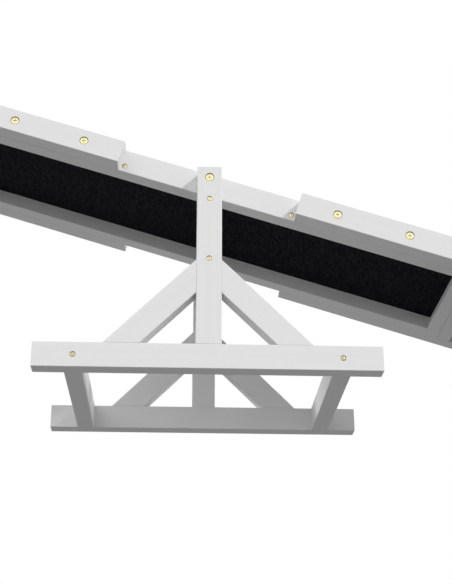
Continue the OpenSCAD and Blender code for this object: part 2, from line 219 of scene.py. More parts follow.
class SeesawStudio(bpy.types.PropertyGroup):
    lens_place: FloatVectorProperty(
        name="Camera place", description="Where the camera stands", subtype="TRANSLATION", unit="LENGTH",
        default=(-0.07757, -3.21126, -1.03695),
    )
    lens_turn: FloatVectorProperty(
        name="Camera turn", description="Tilt, roll and heading of the camera", subtype="EULER",
        default=[math.radians(a) for a in (113.356, -0.027, -2.451)],
    )
    lens_pixels: FloatProperty(
        name="Focal length", description="Focal length in pixels of the photograph", default=1166.7, min=1
    )
    floor: colour("Floor", "Plain pale floor", "#EAEAEA")
    floor_drop: length("Floor drop", "Gap between the floor and the feet", 0.5)
    floor_reach: length("Floor reach", "Distance at which the floor has faded out", 9000)
    floor_fade: length("Floor fade", "Distance over which the floor fades", 5000)
    right_back_above: FloatVectorProperty(
        name="Right, back, above", description="Radiance of the surroundings on these three sides",
        default=(1.23, 0.35, 0.02), min=0,
    )
    left_front_below: FloatVectorProperty(
        name="Left, front, below", description="Radiance of the surroundings on these three sides",
        default=(0.63, 0.0, 0.0), min=0,
    )
    key: strength("Key light", "Strength of the key light, from the right and above", 1.61)
    key_way: way_to("Way to the key light", "Direction of the key light", -44, 35)
    key_size: angle("Size of the key light", "Apparent size of the key light", 6)
    side: strength("Side light", "Strength of the light from the left and a little behind", 1.115)
    side_way: way_to("Way to the side light", "Direction of the side light", 165, 30)
    side_size: angle("Size of the side light", "Apparent size of the side light", 12)
    top: strength("Top light", "Strength of the high light from the front", 0.5)
    top_way: way_to("Way to the top light", "Direction of the top light", -110, 55)
    fill: strength("Fill light", "Strength of the fill light from the front and left", 0.61)
    fill_way: way_to("Way to the fill light", "Direction of the fill light", -130, 30)
    front: strength("Front light", "Strength of the low light beside the camera", 0.48)
    front_way: way_to("Way to the front light", "Direction of the front light", -90, 5)
    soft_size: angle("Size of the other lights", "Apparent size of the three softer lights", 45)


class SeesawSettings(bpy.types.PropertyGroup):
    timber: PointerProperty(type=SeesawTimber, name="Timber")
    deck: PointerProperty(type=SeesawDeck, name="Deck")
    mats: PointerProperty(type=SeesawMats, name="Mats")
    fixings: PointerProperty(type=SeesawFixings, name="Fixings")
    studio: PointerProperty(type=SeesawStudio, name="Studio")


# Materials


def add(tree, kind, sockets=None, **settings):
    """Adds a node with its settings. A socket holds a number or a colour, or the output that feeds it."""
    node = tree.nodes.new(kind)
    for name, value in settings.items():
        setattr(node, name, value)
    for name, value in (sockets or {}).items():
        if isinstance(value, bpy.types.NodeSocket):
            tree.links.new(value, node.inputs[name])
        else:
            node.inputs[name].default_value = value
    return node


# The sockets of a node that mixes colours, which share their names with those for numbers
MIX_FACTOR, MIX_LOW, MIX_HIGH, MIX_RESULT = 0, 6, 7, 2


def empty_material(name):
    """A new material without nodes, and the tree that they go into."""
    material = bpy.data.materials.new(name)
    material.use_nodes = True
    material.node_tree.nodes.clear()
    return material, material.node_tree


def painted_timber():
    """Planed spruce, primed and rolled with satin acrylic paint."""
    # The eye sees one clean white with a soft sheen. Where light grazes a face, the ridges of the grain show
    # as long soft streaks, because the summer wood stands up under the film.
    s = bpy.context.scene.seesaw.timber
    material, tree = empty_material("Satin paint on planed spruce")
    place = add(tree, "ShaderNodeAttribute", attribute_name=PLACE)
    along = s.streak_width / s.streak_length
    grain = add(
        tree, "ShaderNodeVectorMath", {0: place.outputs["Vector"], 1: (along, 1, 1)}, operation="MULTIPLY"
    )
    streaks = add(
        tree, "ShaderNodeTexNoise",
        {"Vector": grain.outputs[0], "Scale": 1 / s.streak_width, "Detail": 3, "Roughness": 0.6},
    )
    rings = add(
        tree, "ShaderNodeTexWave",
        {"Vector": grain.outputs[0], "Scale": 2 * WAVE_UNIT / s.ring_width, "Distortion": 5, "Detail": 2,
         "Detail Scale": 0.6},
        wave_type="BANDS", bands_direction="DIAGONAL",
    )
    ring_share = 0.35
    ridges = add(
        tree, "ShaderNodeMath", {0: rings.outputs["Fac"], 1: ring_share, 2: streaks.outputs["Fac"]},
        operation="MULTIPLY_ADD",
    )
    grained = add(tree, "ShaderNodeBump", {"Height": ridges.outputs[0], "Distance": s.ridge_height})
    stipple = add(tree, "ShaderNodeTexNoise", {"Vector": place.outputs["Vector"], "Scale": 1 / s.stipple})
    rolled = add(
        tree, "ShaderNodeBump",
        {"Height": stipple.outputs["Fac"], "Distance": s.stipple_height, "Normal": grained.outputs[0]},
    )
    sheen = add(
        tree, "ShaderNodeMapRange", {"Value": streaks.outputs["Fac"], "To Min": 0.45, "To Max": 0.55}
    )
    tint = add(
        tree, "ShaderNodeMix", {MIX_FACTOR: streaks.outputs["Fac"], MIX_LOW: s.paint, MIX_HIGH: s.thin_paint},
        data_type="RGBA",
    )
    shader = add(
        tree, "ShaderNodeBsdfPrincipled",
        {"Base Color": tint.outputs[MIX_RESULT], "Roughness": sheen.outputs[0], "IOR": 1.49,
         "Specular IOR Level": 0.4, "Normal": rolled.outputs[0]},
    )
    add(tree, "ShaderNodeOutputMaterial", {"Surface": shader.outputs[0]})
    return material


def film_faced_board():
    """Birch plywood, faced with black phenolic film and pressed on wire mesh."""
    # The eye sees a matt blue-black face with a fine net, and streaks across the board, where the grain of
    # the veneer lies under the film. The real mesh is about 2.5 mm wide, too fine to show, so it is drawn at
    # three times that.
    s = bpy.context.scene.seesaw.deck
    material, tree = empty_material("Mesh-pressed phenolic film")
    place = add(tree, "ShaderNodeAttribute", attribute_name=PLACE)
    wires = [
        add(
            tree, "ShaderNodeTexWave",
            {"Vector": place.outputs["Vector"], "Scale": WAVE_UNIT / s.mesh_pitch, "Distortion": 1.5,
             "Detail": 2, "Detail Scale": 2},
            wave_type="BANDS", bands_direction=way,
        )
        for way in ("X", "Y")
    ]
    net = add(
        tree, "ShaderNodeMath", {0: wires[0].outputs["Fac"], 1: wires[1].outputs["Fac"]}, operation="MULTIPLY"
    )
    across = s.veneer_grain / s.veneer_streak
    veneer = add(
        tree, "ShaderNodeVectorMath", {0: place.outputs["Vector"], 1: (1, across, across)},
        operation="MULTIPLY",
    )
    streaks = add(
        tree, "ShaderNodeTexNoise", {"Vector": veneer.outputs[0], "Scale": 1 / s.veneer_grain, "Detail": 2}
    )
    net_share = 0.25
    both = add(
        tree, "ShaderNodeMath", {0: net.outputs[0], 1: net_share, 2: streaks.outputs["Fac"]},
        operation="MULTIPLY_ADD",
    )
    contrast = add(
        tree, "ShaderNodeMapRange", {"Value": both.outputs[0], "From Min": 0.38, "From Max": 0.84}
    )
    tint = add(
        tree, "ShaderNodeMix", {MIX_FACTOR: contrast.outputs[0], MIX_LOW: s.film, MIX_HIGH: s.film_worn},
        data_type="RGBA",
    )
    bump = add(tree, "ShaderNodeBump", {"Height": both.outputs[0], "Distance": s.mesh_depth})
    shader = add(
        tree, "ShaderNodeBsdfPrincipled",
        {"Base Color": tint.outputs[MIX_RESULT], "Roughness": 0.85, "IOR": 1.5, "Specular IOR Level": 0.03,
         "Normal": bump.outputs[0]},
    )
    add(tree, "ShaderNodeOutputMaterial", {"Surface": shader.outputs[0]})
    return material


def sealed_plywood_edge():
    """Sawn edge of birch plywood under black sealer."""
    # The eye sees a dark edge ruled with fine lines, one for each layer of veneer.
    s = bpy.context.scene.seesaw.deck
    material, tree = empty_material("Sealed plywood edge")
    place = add(tree, "ShaderNodeAttribute", attribute_name=PLACE)
    along = 0.02
    flat = add(
        tree, "ShaderNodeVectorMath", {0: place.outputs["Vector"], 1: (along, along, 1)}, operation="MULTIPLY"
    )
    layers = add(
        tree, "ShaderNodeTexWave",
        {"Vector": flat.outputs[0], "Scale": WAVE_UNIT / (2 * s.veneer), "Distortion": 1},
        wave_type="BANDS", bands_direction="Z",
    )
    tint = add(
        tree, "ShaderNodeMix", {MIX_FACTOR: layers.outputs["Fac"], MIX_LOW: s.film, MIX_HIGH: s.sealed_edge},
        data_type="RGBA",
    )
    bump = add(tree, "ShaderNodeBump", {"Height": layers.outputs["Fac"], "Distance": s.veneer_step})
    shader = add(
        tree, "ShaderNodeBsdfPrincipled",
        {"Base Color": tint.outputs[MIX_RESULT], "Roughness": 0.6, "IOR": 1.5, "Specular IOR Level": 0.3,
         "Normal": bump.outputs[0]},
    )
    add(tree, "ShaderNodeOutputMaterial", {"Surface": shader.outputs[0]})
    return material


def granulate(name, main, other):
    """Rubber granules bonded with polyurethane."""
    # The eye sees a pebbled, matt face in which single grains of a second shade stand out.
    s = bpy.context.scene.seesaw.mats
    material, tree = empty_material(name)
    place = add(tree, "ShaderNodeAttribute", attribute_name=PLACE)
    grains = add(tree, "ShaderNodeTexVoronoi", {"Vector": place.outputs["Vector"], "Scale": 1 / s.granule})
    draw = add(tree, "ShaderNodeSeparateColor", {"Color": grains.outputs["Color"]})
    rare = add(tree, "ShaderNodeMapRange", {"Value": draw.outputs[0], "From Min": 0.55, "From Max": 1.0})
    tint = add(
        tree, "ShaderNodeMix", {MIX_FACTOR: rare.outputs[0], MIX_LOW: main, MIX_HIGH: other}, data_type="RGBA"
    )
    bump = add(
        tree, "ShaderNodeBump", {"Height": grains.outputs["Distance"], "Distance": s.granule_height},
        invert=True,
    )
    shader = add(
        tree, "ShaderNodeBsdfPrincipled",
        {"Base Color": tint.outputs[MIX_RESULT], "Roughness": 0.85, "IOR": 1.5, "Specular IOR Level": 0.25,
         "Normal": bump.outputs[0]},
    )
    add(tree, "ShaderNodeOutputMaterial", {"Surface": shader.outputs[0]})
    return material


def yellow_zinc():
    """Pressed steel heads and rolled threads, zinc plated and yellow passivated."""
    # The eye sees a pale yellow metal with soft clouds and a broad highlight. It is deeper yellow away from
    # the worn crown, in part as painted shade, and painted shade darkens the rim, so each head has a thin
    # dark ring, and in its recess a deeper cross.
    s = bpy.context.scene.seesaw.fixings
    material, tree = empty_material("Yellow passivated zinc")
    place = add(tree, "ShaderNodeAttribute", attribute_name=PLACE)
    shade_and_wear = add(tree, "ShaderNodeAttribute", attribute_name=SHADE_AND_WEAR)
    cloud = add(
        tree, "ShaderNodeTexNoise",
        {"Vector": place.outputs["Vector"], "Scale": 1 / s.plating_cloud, "Detail": 2},
    )
    # Deeper yellow away from the worn crown: partly wear, partly painted shade towards the rim
    deep = add(
        tree, "ShaderNodeMapRange", {"Value": shade_and_wear.outputs["Fac"], "From Min": 0.3, "From Max": 0.9}
    )
    cloud_share = 0.5
    depth = add(
        tree, "ShaderNodeMath", {0: cloud.outputs["Fac"], 1: cloud_share, 2: deep.outputs[0]},
        operation="MULTIPLY_ADD", use_clamp=True,
    )
    wear_and_shade = add(
        tree, "ShaderNodeMix", {MIX_FACTOR: depth.outputs[0], MIX_LOW: s.plating, MIX_HIGH: s.plating_tint},
        data_type="RGBA",
    )
    # Painted shade at the rim of a head and in its recess
    edge = add(
        tree, "ShaderNodeMapRange", {"Value": shade_and_wear.outputs["Fac"], "From Min": 0.8, "From Max": 1.0}
    )
    tint = add(
        tree, "ShaderNodeMix",
        {MIX_FACTOR: edge.outputs[0], MIX_LOW: wear_and_shade.outputs[MIX_RESULT], MIX_HIGH: s.plating_shade},
        data_type="RGBA",
    )
    shader = add(
        tree, "ShaderNodeBsdfPrincipled",
        {"Base Color": tint.outputs[MIX_RESULT], "Metallic": 1, "Roughness": 0.5},
    )
    add(tree, "ShaderNodeOutputMaterial", {"Surface": shader.outputs[0]})
    return material


def zinc_plated_steel():
    """Turned free-cutting steel with clear passivated zinc."""
    # The eye sees a cool, even grey with faint turning marks. Real marks are about 0.1 mm apart, too fine to
    # show, so they are drawn at six times that.
    s = bpy.context.scene.seesaw.fixings
    material, tree = empty_material("Zinc plated free-cutting steel")
    place = add(tree, "ShaderNodeAttribute", attribute_name=PLACE)
    marks = add(
        tree, "ShaderNodeTexWave", {"Vector": place.outputs["Vector"], "Scale": WAVE_UNIT / s.turning_marks},
        wave_type="BANDS", bands_direction="Z",
    )
    bump = add(tree, "ShaderNodeBump", {"Height": marks.outputs["Fac"], "Distance": s.turning_depth})
    shader = add(
        tree, "ShaderNodeBsdfPrincipled",
        {"Base Color": s.steel, "Metallic": 1, "Roughness": 0.35, "Normal": bump.outputs[0]},
    )
    add(tree, "ShaderNodeOutputMaterial", {"Surface": shader.outputs[0]})
    return material


def sintered_bronze():
    """Bronze powder, pressed, sintered and soaked with oil."""
    # The eye sees a dull warm metal, speckled with oil-filled pores.
    s = bpy.context.scene.seesaw.fixings
    material, tree = empty_material("Sintered bronze")
    place = add(tree, "ShaderNodeTexCoord")
    pores = add(
        tree, "ShaderNodeTexNoise", {"Vector": place.outputs["Object"], "Scale": 1 / s.pore, "Detail": 1}
    )
    tint = add(
        tree, "ShaderNodeMix",
        {MIX_FACTOR: pores.outputs["Fac"], MIX_LOW: s.bronze, MIX_HIGH: s.bronze_pores},
        data_type="RGBA",
    )
    shader = add(
        tree, "ShaderNodeBsdfPrincipled",
        {"Base Color": tint.outputs[MIX_RESULT], "Metallic": 1, "Roughness": 0.45},
    )
    add(tree, "ShaderNodeOutputMaterial", {"Surface": shader.outputs[0]})
    return material


def beech():
    """Turned and fluted beech."""
    # The eye sees a pale brown with short dark flecks along the grain.
    s = bpy.context.scene.seesaw.fixings
    material, tree = empty_material("Turned beech")
    place = add(tree, "ShaderNodeAttribute", attribute_name=PLACE)
    along = 0.2
    grain = add(
        tree, "ShaderNodeVectorMath", {0: place.outputs["Vector"], 1: (1, 1, along)}, operation="MULTIPLY"
    )
    flecks = add(
        tree, "ShaderNodeTexNoise",
        {"Vector": grain.outputs[0], "Scale": 1 / s.fleck, "Detail": 2, "Roughness": 0.7},
    )
    tint = add(
        tree, "ShaderNodeMix",
        {MIX_FACTOR: flecks.outputs["Fac"], MIX_LOW: s.beech, MIX_HIGH: s.beech_flecks},
        data_type="RGBA",
    )
    shader = add(
        tree, "ShaderNodeBsdfPrincipled",
        {"Base Color": tint.outputs[MIX_RESULT], "Roughness": 0.6, "IOR": 1.5},
    )
    add(tree, "ShaderNodeOutputMaterial", {"Surface": shader.outputs[0]})
    return material


# Meshes


def nodes_in(slot):
    """The names of the nodes that have a finish, in the record's order."""
    return [part["node"] for part in frame["record"]["subparts"] if part["material_slot"] == slot]


def body_of(node):
    """The body that a node belongs to."""
    bodies = frame["record"]["behaviour"]["bodies"]
    return next(body for body, members in bodies.items() if node in members)


def stand_in(bm, node, ending, slot, *materials):
    """Makes a mesh the visible piece of a node, on its body, with the finish of its slot. The slot argument
    is not used; the finish comes from the materials.
    """
    for face in bm.faces:
        face.smooth = True
    for edge in bm.edges:
        edge.smooth = len(edge.link_faces) == 2 and edge.calc_face_angle() < SMOOTH_TURN
    name = f"{node}_{ending}"
    mesh = bpy.data.meshes.new(name)
    bm.to_mesh(mesh)
    bm.free()
    for material in materials:
        mesh.materials.append(material)
    piece = bpy.data.objects.new(name, mesh)
    bpy.context.scene.collection.objects.link(piece)
    piece.modifiers.new("Even shading", "WEIGHTED_NORMAL").keep_sharp = True
    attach(piece, body_of(node))
    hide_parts(node)


def joined_copy(node):
    """A copy of a node's mesh with its corners joined and its flat faces whole."""
    bm = bmesh.new()
    bm.from_mesh(frame["nodes"][node].data)
    bmesh.ops.remove_doubles(bm, verts=bm.verts, dist=WELD)
    bmesh.ops.dissolve_limit(bm, angle_limit=math.radians(1), verts=bm.verts, edges=bm.edges)
    return bm


def feature_edges(bm, least):
    """The edges at which the surface turns outwards by more than an angle in degrees."""
    return [
        e for e in bm.edges
        if len(e.link_faces) == 2 and e.is_convex and e.calc_face_angle() > math.radians(least)
    ]


def own_axes(bm):
    """The ways along, across and square to a piece, from its longest edges, and its two corners there."""
    nearly_square = 0.1
    ways = [e.verts[1].co - e.verts[0].co for e in feature_edges(bm, least=5)]
    along = max(ways, key=lambda w: w.length).normalized()
    others = [w for w in ways if abs(w.normalized().dot(along)) < nearly_square]
    across = max(others, key=lambda w: w.length)
    across = (across - along * across.dot(along)).normalized()
    axes = Matrix((along, across, along.cross(across)))
    places = [axes @ v.co for v in bm.verts]
    low = Vector([min(p[i] for p in places) for i in range(3)])
    high = Vector([max(p[i] for p in places) for i in range(3)])
    return axes, low, high


def write_places(bm, axes, origin, shift):
    """Stores each point's place in its own piece. The shift gives each piece its own stretch of pattern."""
    layer = bm.verts.layers.float_vector.new(PLACE)
    for v in bm.verts:
        v[layer] = axes @ v.co - origin + Vector((shift, shift, shift))


def ease_edges(bm, width):
    """Rounds the sharp outer edges off by a small width, in two steps."""
    bmesh.ops.bevel(
        bm, geom=feature_edges(bm, least=40), offset=width, offset_type="OFFSET", segments=2, profile=0.5,
        affect="EDGES", clamp_overlap=False,
    )


def parts_of(node):
    """The lowest and highest corners of each separate solid of a node, from the left to the right."""
    bm = bmesh.new()
    bm.from_mesh(frame["nodes"][node].data)
    bmesh.ops.remove_doubles(bm, verts=bm.verts, dist=WELD)
    left, boxes = set(bm.verts), []
    while left:
        group = [left.pop()]
        for v in group:
            near = {e.other_vert(v) for e in v.link_edges} & left
            left -= near
            group += near
        boxes.append([Vector([pick(v.co[i] for v in group) for i in range(3)]) for pick in (min, max)])
    bm.free()
    # Places that differ by less than a tenth of a millimetre count as equal
    return sorted(boxes, key=lambda box: tuple(round(c, 4) for c in box[0]))


def join_rings(bm, rings):
    """Joins each ring of points to the next with faces. A ring may be a single point."""
    for lower, upper in zip(rings, rings[1:]):
        count = max(len(lower), len(upper))
        for i in range(count):
            j = (i + 1) % count
            corners = [ring[k % len(ring)] for ring, k in ((lower, i), (lower, j), (upper, j), (upper, i))]
            bm.faces.new(dict.fromkeys(corners))


def closed_shape(rings):
    """A shape from rings of places, closed with a face at both ends."""
    bm = bmesh.new()
    corners = [[bm.verts.new(place) for place in ring] for ring in rings]
    join_rings(bm, corners)
    bm.faces.new(corners[0][::-1])
    bm.faces.new(corners[-1])
    bmesh.ops.recalc_face_normals(bm, faces=bm.faces)
    return bm


def lathe(bm, profile, columns):
    """Turns a profile of (radius, height) points round the Z axis. A radius of 0 is one point."""
    rings = []
    for radius, z in profile:
        if radius == 0:
            rings.append([bm.verts.new((0, 0, z))])
        else:
            turns = [math.tau * i / columns for i in range(columns)]
            rings.append([bm.verts.new((radius * math.cos(a), radius * math.sin(a), z)) for a in turns])
    join_rings(bm, rings)


def thread(bm, radius_at, depth, z0, z1, pitch, crest, columns):
    """A helical thread from a ring at z0 to a ring at z1. radius_at gives the outer radius at a height."""
    turns = math.ceil((z1 - z0) / pitch) + 2
    grid = []
    for k in range(turns * len(crest)):
        turn, corner = divmod(k, len(crest))
        rise, reach = crest[corner]
        row = []
        for i in range(columns + 1):
            wanted = z0 + pitch * (turn - 1 + rise + i / columns)
            z = min(max(wanted, z0), z1)
            fade = min(1, (z - z0) / pitch, (z1 - z) / pitch)
            root = radius_at(z) - depth
            r = root + depth * reach * fade
            a = math.tau * i / columns
            row.append(bm.verts.new((r * math.cos(a), r * math.sin(a), z)))
        grid.append(row)
    for lower, upper in zip(grid, grid[1:]):
        for i in range(columns):
            bm.faces.new((lower[i], lower[i + 1], upper[i + 1], upper[i]))


def clean(bm):
    """Joins the rings that meet and takes out the faces that have no area."""
    bmesh.ops.remove_doubles(bm, verts=bm.verts, dist=TURNED_WELD)
    bmesh.ops.dissolve_degenerate(bm, dist=TURNED_WELD / 10, edges=bm.edges)
    bmesh.ops.recalc_face_normals(bm, faces=bm.faces)


# The corners of one turn of a thread: how far up the turn, and how far out from the root to the crest
METRIC = ((0, 0), (0.12, 0), (0.5, 1), (0.62, 1))
COARSE = ((0, 0), (0.55, 0), (0.75, 1), (0.82, 1))
# The depth of a metric thread as a share of its pitch
METRIC_DEPTH = 0.61

DOME_STEPS = 7
# The small round of a head: its height as a share of the side's, and how far its upper corner lies inside
# the rim and above the side, as shares of that
HEAD_ROUND, ROUND_IN, ROUND_UP = 0.3, 0.4, 0.1

# The rings of a tapered cross, from over the crown to the bottom of the recess: the height as a share of the
# head's, and the length and width of the arms as shares of those at the crown
CROSS_RINGS = ((1.3, 1.0, 1.0), (1.0, 1.0, 1.0), (0.35, 0.55, 0.7))
# Half the width of an arm as a share of the length of the cross
CROSS_ARM = 0.13


def dome(radius, height, side):
    """Profile of a domed head from its crown to its underside: a dome, a small round and a straight side."""
    rise = height * (1 - side)
    ball = (radius ** 2 + rise ** 2) / (2 * rise)
    reach = math.asin(radius / ball)
    arc = [reach * i / DOME_STEPS for i in range(DOME_STEPS)]
    crown = [(ball * math.sin(a), ball - height - ball * math.cos(a)) for a in arc]
    low = rise - height
    ease = HEAD_ROUND * height * side
    return crown + [(radius - ROUND_IN * ease, low - ROUND_UP * ease), (radius, low + ease), (radius, 0)]


def cross_cutter(size, height):
    """A tapered cross for the recess of a head that stands on Z = 0 and points to -Z."""
    rings = []
    for up, reach, wide in CROSS_RINGS:
        a, b, z = size / 2 * reach, size * CROSS_ARM * wide, -up * height
        ring = []
        for quarter in range(4):
            turn = Matrix.Rotation(quarter * math.pi / 2, 3, "Z")
            ring += [turn @ Vector((a, -b, z)), turn @ Vector((a, b, z)), turn @ Vector((b, b, z))]
        rings.append(ring)
    return closed_shape(rings)


def with_recess(bm, size, height):
    """Cuts a cross recess into a head that stands on Z = 0 and points to -Z."""
    holders = []
    for part in (bm, cross_cutter(size, height)):
        mesh = bpy.data.meshes.new("recess")
        part.to_mesh(mesh)
        part.free()
        holders.append(bpy.data.objects.new("recess", mesh))
        bpy.context.scene.collection.objects.link(holders[-1])
    cut = holders[0].modifiers.new("cut", "BOOLEAN")
    cut.object, cut.operation, cut.solver = holders[1], "DIFFERENCE", "EXACT"
    result = bmesh.new()
    result.from_object(holders[0], bpy.context.evaluated_depsgraph_get())
    for holder in holders:
        mesh = holder.data
        bpy.data.objects.remove(holder)
        bpy.data.meshes.remove(mesh)
    clean(result)
    return result


def bolt_shape(s, size, head_radius, tip):
    """A domed machine bolt. Its underside is at the origin, and its tip is at +Z."""
    shank = s.bolt_shank / 2
    depth = METRIC_DEPTH * s.bolt_pitch
    root = shank - depth
    bm = bmesh.new()
    head = dome(head_radius, s.bolt_head, s.head_side)
    # The thread starts two turns or more before the tip or the journal, and ends half a turn before it
    start = min(s.bolt_plain, size - tip - 2 * s.bolt_pitch)
    end = size - tip - 0.5 * s.bolt_pitch
    lathe(bm, head + [(shank, 0), (shank, start - depth), (root, start)], s.columns)
    thread(bm, lambda z: shank, depth, start, end, s.bolt_pitch, METRIC, s.columns)
    if tip:
        journal = s.journal / 2
        foot = [(root, end), (journal, end), (journal, size - MM), (journal - MM, size), (0, size)]
    else:
        foot = [(root, end), (root - depth, size), (0, size)]
    lathe(bm, foot, s.columns)
    clean(bm)
    return with_recess(bm, 2 * head_radius * s.recess, s.bolt_head)


def screw_shape(s, size, head_radius):
    """A domed wood screw with a coarse thread and a point."""
    outer = s.screw_shank / 2
    depth = s.screw_depth * outer
    # The point tapers over about one diameter to a blunt tip, and a third or more of the screw is plain
    taper = 2.2 * outer
    tip = depth + 0.05 * outer
    start = max(0.35 * size, 2 * s.screw_pitch)
    end = size - 0.4 * MM

    def radius_at(z):
        return tip + (outer - tip) * min(1, (size - z) / taper)

    bm = bmesh.new()
    neck = outer - depth
    lathe(bm, dome(head_radius, s.screw_head, s.head_side) + [(neck, 0), (neck, start)], s.columns)
    thread(bm, radius_at, depth, start, end, s.screw_pitch, COARSE, s.columns)
    lathe(bm, [(radius_at(end) - depth, end), (0, size)], s.columns)
    clean(bm)
    return with_recess(bm, 2 * head_radius * s.recess, s.screw_head)


def insert_shape(s, size, outer):
    """A threaded insert: a sleeve with a coarse outer thread and a chamfered bore, from Z = 0."""
    bore = outer - s.insert_wall
    depth = s.insert_depth * s.insert_wall
    root, ease = outer - depth, s.insert_ease
    bm = bmesh.new()
    thread(bm, lambda z: outer, depth, 0, size, s.insert_pitch, COARSE, s.columns)
    entry = [(root, 0), (bore + ease, 0), (bore, ease)]
    lathe(bm, entry + [(r, size - z) for r, z in reversed(entry)], s.columns)
    clean(bm)
    return bm


def dowel_shape(s, size, radius):
    """A fluted dowel with chamfered ends, its middle at the origin."""
    ease, half = s.dowel_ease, size / 2
    columns = 2 * s.flutes
    ends = ((-half, radius - ease), (ease - half, radius), (half - ease, radius), (half, radius - ease))
    rings = []
    for z, r in ends:
        turns = [(math.tau * i / columns, r - s.flute_depth * (i % 2)) for i in range(columns)]
        rings.append([(d * math.cos(a), d * math.sin(a), z) for a, d in turns])
    return closed_shape(rings)


def gather(places, least_shade=0):
    """Joins shapes into one mesh, each with its own turn and place: (shape, matrix, shift of the pattern)."""
    whole = bmesh.new()
    layer = whole.verts.layers.float_vector.new(PLACE)
    shade_and_wear = whole.verts.layers.float.new(SHADE_AND_WEAR)
    for shape, matrix, shift in places:
        widest = max(v.co.xy.length for v in shape.verts)
        crown = min(v.co.z for v in shape.verts)
        mesh = bpy.data.meshes.new("part")
        shape.to_mesh(mesh)
        before = len(whole.verts)
        whole.from_mesh(mesh)
        bpy.data.meshes.remove(mesh)
        whole.verts.ensure_lookup_table()
        for v in whole.verts[before:]:
            v[layer] = v.co + Vector((shift, shift, shift))
            # Painted shade grows towards the rim of a head and fills its recess, and the crown in the middle
            # is the worn, pale part
            reach = v.co.xy.length / widest
            in_recess = RECESS_HEIGHT * crown < v.co.z < 0 and reach < RECESS_RADIUS
            v[shade_and_wear] = RECESS_SHADE if in_recess else least_shade + (1 - least_shade) * reach
            v.co = matrix @ v.co
    return whole


def into_timber(box, head, spin):
    """The matrix that points +Z into the timber from under the head of a fixing along Y."""
    low, high = box
    middle = (low + high) / 2
    front = middle.y < 0
    y = low.y + head if front else high.y - head
    turn = Matrix.Rotation(math.radians(-90 if front else 90), 4, "X")
    return Matrix.Translation((middle.x, y, middle.z)) @ turn @ Matrix.Rotation(spin, 4, "Z")


def fixings(node, shape_of, head, least_shade=0):
    """A detailed fixing in the place of each solid of a node, with the same length and height of head."""
    shapes, places = {}, []
    for i, box in enumerate(parts_of(node)):
        size = round(box[1].y - box[0].y, 5)
        if size not in shapes:
            shapes[size] = shape_of(size - head, (box[1].x - box[0].x) / 2)
        places.append((shapes[size], into_timber(box, head, i * GOLDEN_TURN), i * FIXING_SHIFT))
    piece = gather(places, least_shade)
    for shape in shapes.values():
        shape.free()
    return piece


# Pieces


class SEESAW_OT_timbers(bpy.types.Operator):
    """Build the painted timbers, with their sawn ends and holes eased"""
    bl_idname = "seesaw.timbers"
    bl_label = "Painted timbers"

    def execute(self, context):
        paint = painted_timber()
        for number, node in enumerate(nodes_in("painted_timber")):
            bm = joined_copy(node)
            axes, low, high = own_axes(bm)
            ease_edges(bm, context.scene.seesaw.timber.edge_ease)
            write_places(bm, axes, (low + high) / 2, number * TIMBER_SHIFT)
            stand_in(bm, node, "painted", "painted_timber", paint)
        return {"FINISHED"}


class SEESAW_OT_deck_boards(bpy.types.Operator):
    """Build the black deck boards, with film on their faces and sealed edges"""
    bl_idname = "seesaw.deck_boards"
    bl_label = "Deck boards"

    def execute(self, context):
        film, edge = film_faced_board(), sealed_plywood_edge()
        for number, node in enumerate(nodes_in("film_faced_plywood")):
            bm = joined_copy(node)
            axes, low, high = own_axes(bm)
            ease_edges(bm, context.scene.seesaw.deck.edge_ease)
            write_places(bm, axes, (low + high) / 2, number * BOARD_SHIFT)
            for face in bm.faces:
                lies_flat = abs(face.normal.dot(axes[2])) > 0.9
                face.material_index = 0 if lies_flat else 1
            stand_in(bm, node, "filmed", "film_faced_plywood", film, edge)
        return {"FINISHED"}


def granulate_mat(node, s):
    """A bonded rubber mat in a node's place: rounded upper edges and a slightly uneven face."""
    source = joined_copy(node)
    axes, low, high = own_axes(source)
    source.free()
    # The third axis has to point up, because only the upper edges are rounded
    if axes[2].z < 0:
        axes = Matrix(((1, 0, 0), (0, -1, 0), (0, 0, -1))) @ axes
        low, high = Vector((low.x, -high.y, -high.z)), Vector((high.x, -low.y, -low.z))
    span = high - low
    least_cells, lip = 4, 0.3 * s.edge_round
    steps = []
    for width in span.xy:
        count = max(least_cells, round(width / s.cell))
        inner = [s.edge_round + (width - 2 * s.edge_round) * k / count for k in range(count + 1)]
        steps.append([0, lip] + inner + [width - lip, width])

    def drop(x, y):
        near = min(x, y, span.x - x, span.y - y)
        lack = max(0, s.edge_round - near)
        return s.edge_round - math.sqrt(max(0, s.edge_round ** 2 - lack ** 2))

    bm = bmesh.new()
    back = axes.transposed()
    rows = []
    for x in steps[0]:
        row = []
        for y in steps[1]:
            dip = s.unevenness * (0.5 + 0.5 * noise.noise(Vector((x, y, low.x)) / s.dip_width))
            row.append(bm.verts.new(back @ (low + Vector((x, y, span.z - drop(x, y) - dip)))))
        rows.append(row)
    for a, b in zip(rows, rows[1:]):
        for i in range(len(a) - 1):
            bm.faces.new((a[i], b[i], b[i + 1], a[i + 1]))
    rim = rows[0][:-1] + [row[-1] for row in rows[:-1]] + rows[-1][:0:-1] + [row[0] for row in rows[:0:-1]]
    own = [axes @ v.co for v in rim]
    foot = [bm.verts.new(back @ Vector((place.x, place.y, low.z))) for place in own]
    join_rings(bm, [rim, foot])
    bm.faces.new(foot)
    bmesh.ops.recalc_face_normals(bm, faces=bm.faces)
    return bm, axes, (low + high) / 2


def lay_mats(s, slot, rubber):
    """Builds the mats that have one finish."""
    for number, node in enumerate(nodes_in(slot)):
        bm, axes, middle = granulate_mat(node, s)
        write_places(bm, axes, middle, number * MAT_SHIFT)
        stand_in(bm, node, "granulate", slot, rubber)


class SEESAW_OT_mats(bpy.types.Operator):
    """Build the black anti-slip mats"""
    bl_idname = "seesaw.mats"
    bl_label = "Anti-slip mats"

    def execute(self, context):
        s = context.scene.seesaw.mats
        lay_mats(s, "granulate_rubber", granulate("Bonded black rubber granulate", s.black, s.grey))
        return {"FINISHED"}


